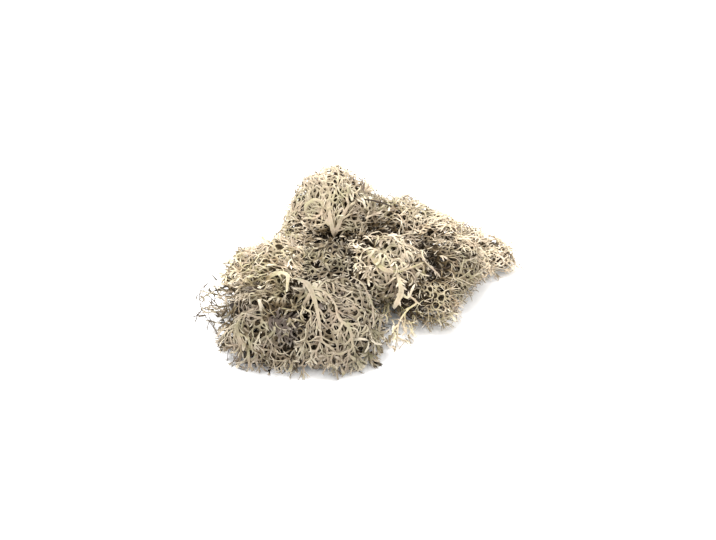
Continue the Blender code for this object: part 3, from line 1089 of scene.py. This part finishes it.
# ----------------------------------------
# Strands at the left edge. A few long, thin, dark, curved strands with hardly a fork, loose at the
# stem's left end and bent round towards the table.
# ----------------------------------------
# Its low lightness is partly painted shade for the front slopes and the saddle, which face away from the
# lamp.
plain = lichen_material("lichen skin", olive=0.60, lightness_and_painted_light=0.535, rust=0.30, grey=0.25)
left_edge_leads = (
    dict(line=((-58, -6, 15), (-67, -7, 17), (-73, -14, 16), (-72, -22, 11), (-66, -30, 6)),
         halves=(0.38, 0.34, 0.34, 0.30, 0.26), gap=6.8, side_lobe=0.9, tone=-2.0),
    dict(line=((-56, -14, 14), (-65, -16, 14), (-69, -23, 10), (-65, -31, 5)),
         halves=(0.34, 0.30, 0.30, 0.26), gap=6.8, side_lobe=0.9, tone=-2.0),
)
grow_tuft("tuft_left_edge", seed=106, material=plain, leads=left_edge_leads, root=(-52, -10, 10),
          fine=0.2, width=0.44, fork=5.0, lobes=12, density=0.4, fill=0.03, deepest=0.5, sparse=True)

# ----------------------------------------
# Right slope. A wide tuft of very fine, matted, tanned lobes in small nets, which falls from the
# crest's flank to the right. It grows along the right half of the stem.
# ----------------------------------------
grow_tuft("tuft_right_shoulder", seed=107, material=tanned, cell=1.45, strap=0.165, root=(22, 22, 18),
          deepest=1.7, strands=46, strand=0.20, density=1.3, fine=0.15, width=0.62, fork=2.8)

# ----------------------------------------
# Right end. A low, flat tuft of the same fine, tanned lobes around the stem's right end, thin
# enough at its edge to see between them.
# ----------------------------------------
grow_tuft("tuft_right_tip", seed=108, material=tanned, cell=1.45, strap=0.165, root=(50, 30, 8),
          deepest=4.0, strands=24, strand=0.20, density=1.3, fine=0.15, width=0.60, fork=2.8)

# ----------------------------------------
# Under the right slope. Coarser, browner lobes with wide holes, and one thick lobe arched over
# them. It grows on the right branch.
# ----------------------------------------
# Its low lightness is partly painted shade for the tuft under the right slope.
brown_and_shade = lichen_material("brown lichen skin", olive=0.35, brown=0.14, lightness_and_painted_light=0.66, rust=0.7, grey=0.30)
right_low_leads = (
    dict(line=((24, -5.5, 26), (27.5, -2, 27), (31, -5.5, 25), (35, -7, 21.5)),
         halves=(0.42, 0.46, 0.53, 0.42), gap=4.1, side_lobe=0.6),
)
grow_tuft("tuft_right_low", seed=109, material=brown_and_shade, leads=right_low_leads, cell=2.1, strap=0.23,
          root=(28, 14, 14), strands=26, fine=0.20, width=0.80, fork=4.0)

# ----------------------------------------
# Right hem. A fine, rust-brown tuft at the end of the right branch, close to the table, with short
# lobes that stick out of its foot.
# ----------------------------------------
rusty = lichen_material("rust-brown lichen skin", olive=0.45, brown=0.14, lightness_and_painted_light=0.80, rust=0.9, grey=0.15)
grow_tuft("tuft_right_hem", seed=110, material=rusty, cell=1.6, strap=0.13, strands=60, strand=0.17,
          foot=(14, (0.5, -1.0), 0.30, 3.5), root=(26, -2, 9), density=1.3, fine=0.14, width=0.46,
          fork=3.4)

# ----------------------------------------
# Saddle. The tuft in the dip between the crest, the left and the front, partly in shadow, with
# plain grey-cream lobes. It grows straight up from the stem.
# ----------------------------------------
grow_tuft("tuft_saddle", seed=111, material=plain, cell=2.1, strap=0.25, root=(-12, 10, 14), strands=24,
          fine=0.22, width=0.95, fork=4.0)

# ----------------------------------------
# Middle. Wide, pale lobes and one yellow-green strap that curves over to the right, with a short,
# thick one that hangs from it. It grows from the stem where the right branch leaves it.
# ----------------------------------------
middle_leads = (
    dict(line=((3.5, -5, 31.5), (7, -11, 30), (11, -15.5, 28.5), (17, -14, 26.5), (22.5, -10.5, 26),
                (27.5, -6, 25.5)),
         halves=(0.79, 1.32, 1.06, 0.53, 0.51, 0.42), gap=5.4, side_lobe=0.3, green=0.95),
    dict(line=((16.5, -13, 26), (18, -18.5, 23), (18.5, -21, 19.5), (16.5, -24.5, 16.5)),
         halves=(0.59, 0.99, 1.45, 1.06), gap=3.2, side_lobe=0.45, green=0.2),
    dict(line=((18, -20.5, 19.5), (21.5, -21, 17), (23.5, -19.5, 20)),
         halves=(0.79, 0.66, 0.53), gap=6.8, tone=1.0),
)
grow_tuft("tuft_middle", seed=112, material=pale, leads=middle_leads, cell=2.15, strap=0.27,
          root=(2, 12, 18), cover=0.35, strands=20, fine=0.22, width=1.20, fork=4.0)

# ----------------------------------------
# Front left tuft. A large tuft with two lobes turned over, which show their grey-violet undersides,
# and forked lobes along its foot. It grows at the end of the front branch.
# ----------------------------------------
# Its low lightness darkens the whole tuft as painted shade on the slope that faces away from the lamp.
shaded = lichen_material("grey lichen skin", olive=0.7, brown=0.10, lightness_and_painted_light=0.57, rust=0.5, grey=0.65)
front_left_leads = (
    dict(line=((-42, -41, 20), (-38, -44, 20.5), (-33, -44.5, 20.5), (-28.5, -47, 19)),
         halves=(0.4, 0.95, 1.15, 0.6), gap=1.7, side_lobe=0.65, tone=-2.4, lift=-0.6),
    dict(line=((-40, -46, 18.5), (-35, -48, 18.5), (-31, -50.5, 17)),
         halves=(0.4, 0.95, 0.5), gap=1.7, side_lobe=0.65, tone=-2.4, lift=-0.9),
    dict(line=((-53, -39, 18), (-54.5, -43, 16), (-53, -48, 12.5), (-49.5, -51, 10)),
         halves=(0.5, 1.1, 1.2, 0.7), gap=3.0, side_lobe=0.45, green=0.4, lift=0.3),
)
grow_tuft("tuft_front_left", seed=113, material=shaded, leads=front_left_leads, cell=2.0, strap=0.23,
          root=(-34, -20, 14), strands=20, cover=0.3, foot=(13, (-0.2, -1.0), 0.60, 4.5), fine=0.20,
          width=1.10, fork=3.8)

# ----------------------------------------
# Front centre tuft. The largest front tuft: broad, flat lobes with webbed forks that run down over
# a coarse net, and forked lobes along its foot. It grows on the front branch.
# ----------------------------------------
front_centre_leads = (
    dict(line=((-30.5, -20.5, 25.5), (-26.5, -24, 27), (-22.5, -32, 29.0), (-19.5, -41, 26.5),
                (-18, -48, 23), (-17, -53, 17)),
         halves=(0.45, 1.05, 1.40, 0.95, 0.70, 0.55), gap=3.2, side_lobe=0.42, lift=1.5),
    dict(line=((-11, -42, 25.5), (-9.5, -47, 23), (-5, -50.5, 20.5), (-3.5, -55, 14.5)),
         halves=(0.35, 0.60, 0.85, 0.55), gap=2.2, side_lobe=0.60, lift=0.6),
    dict(line=((-22, -33, 30), (-16, -35, 29.5), (-11, -41, 26.5), (-9, -48, 21.5)),
         halves=(0.73, 0.59, 0.53, 0.46), gap=3.2),
    dict(line=((-4, -22, 29), (1, -28, 29), (5, -37, 25), (6, -44, 20)),
         halves=(0.51, 0.59, 0.53, 0.51), gap=3.2),
)
grow_tuft("tuft_front_centre", seed=114, material=plain, leads=front_centre_leads, cell=2.15, strap=0.27,
          root=(-20, -18, 18), strands=16, cover=0.45, foot=(16, (0.35, -1.0), 0.68, 6.0), fine=0.20,
          width=1.25, fork=3.8)

# ----------------------------------------
# Front fringe. A few thin, arched, greenish strands over bare table, which join the middle and
# front tufts and end in small forked lobes.
# ----------------------------------------
front_fringe_leads = (
    dict(line=((22, -19, 17), (25.5, -21.5, 14.5), (21.5, -25, 13), (17.5, -31, 10), (16.5, -37, 5)),
         halves=(0.46, 0.51, 0.47, 0.42, 0.38), gap=5.4, side_lobe=0.8, green=0.5),
)
grow_tuft("tuft_front_fringe", seed=115, material=greenish, leads=front_fringe_leads, root=(16, -12, 10),
          foot=(9, (0.6, -1.0), 0.34, 3.0), fine=0.2, width=0.55, fork=5.0, lobes=10, density=0.3,
          fill=0.02, deepest=0.5, sparse=True)

# ----------------------------------------
# Camera, floor and light. A plain white surface in a white room, under one soft lamp high behind
# it, seen from in front and above.
# ----------------------------------------
TARGET = Vector((-1.0, 4.96, 15.0)) * MM
CAMERA_DISTANCE = 0.79
CAMERA_ELEVATION = math.radians(33)
back_way = Vector((0, -math.cos(CAMERA_ELEVATION), math.sin(CAMERA_ELEVATION)))
bpy.ops.object.camera_add(location=TARGET + back_way * CAMERA_DISTANCE)
camera = bpy.context.active_object
camera.rotation_mode = "QUATERNION"
camera.rotation_quaternion = (-back_way).to_track_quat("-Z", "Y")
camera.data.lens = 85.0
camera.data.sensor_width = 36.0
camera.data.clip_start = 0.01
camera.data.clip_end = 20.0
bpy.context.scene.camera = camera

bpy.ops.mesh.primitive_plane_add(size=6.0, location=(0, 0, 0))
floor = bpy.context.active_object
floor.name = "white_floor"
white, _, _, white_shader = node_material("white paper")
white_shader.inputs["Base Color"].default_value = (0.93, 0.93, 0.93, 1.0)
white_shader.inputs["Roughness"].default_value = 1.0
white_shader.inputs["Specular IOR Level"].default_value = 0.0
floor.data.materials.append(white)

LAMP_PLACE = Vector((-0.17, 0.30, 0.91))
lamp_light = bpy.data.lights.new("key_lamp", "AREA")
lamp_light.shape = "DISK"
lamp_light.size = 0.34
lamp_light.energy = 10.0
lamp = bpy.data.objects.new("key_lamp", lamp_light)
bpy.context.scene.collection.objects.link(lamp)
lamp.location = LAMP_PLACE
lamp.rotation_mode = "QUATERNION"
lamp.rotation_quaternion = (TARGET - LAMP_PLACE).to_track_quat("-Z", "Y")

world = bpy.data.worlds.new("white_room")
world.use_nodes = True
background = world.node_tree.nodes["Background"]
background.inputs["Color"].default_value = (1.0, 1.0, 1.0, 1.0)
background.inputs["Strength"].default_value = 1.55
bpy.context.scene.world = world
bpy.context.scene.view_settings.view_transform = "Standard"
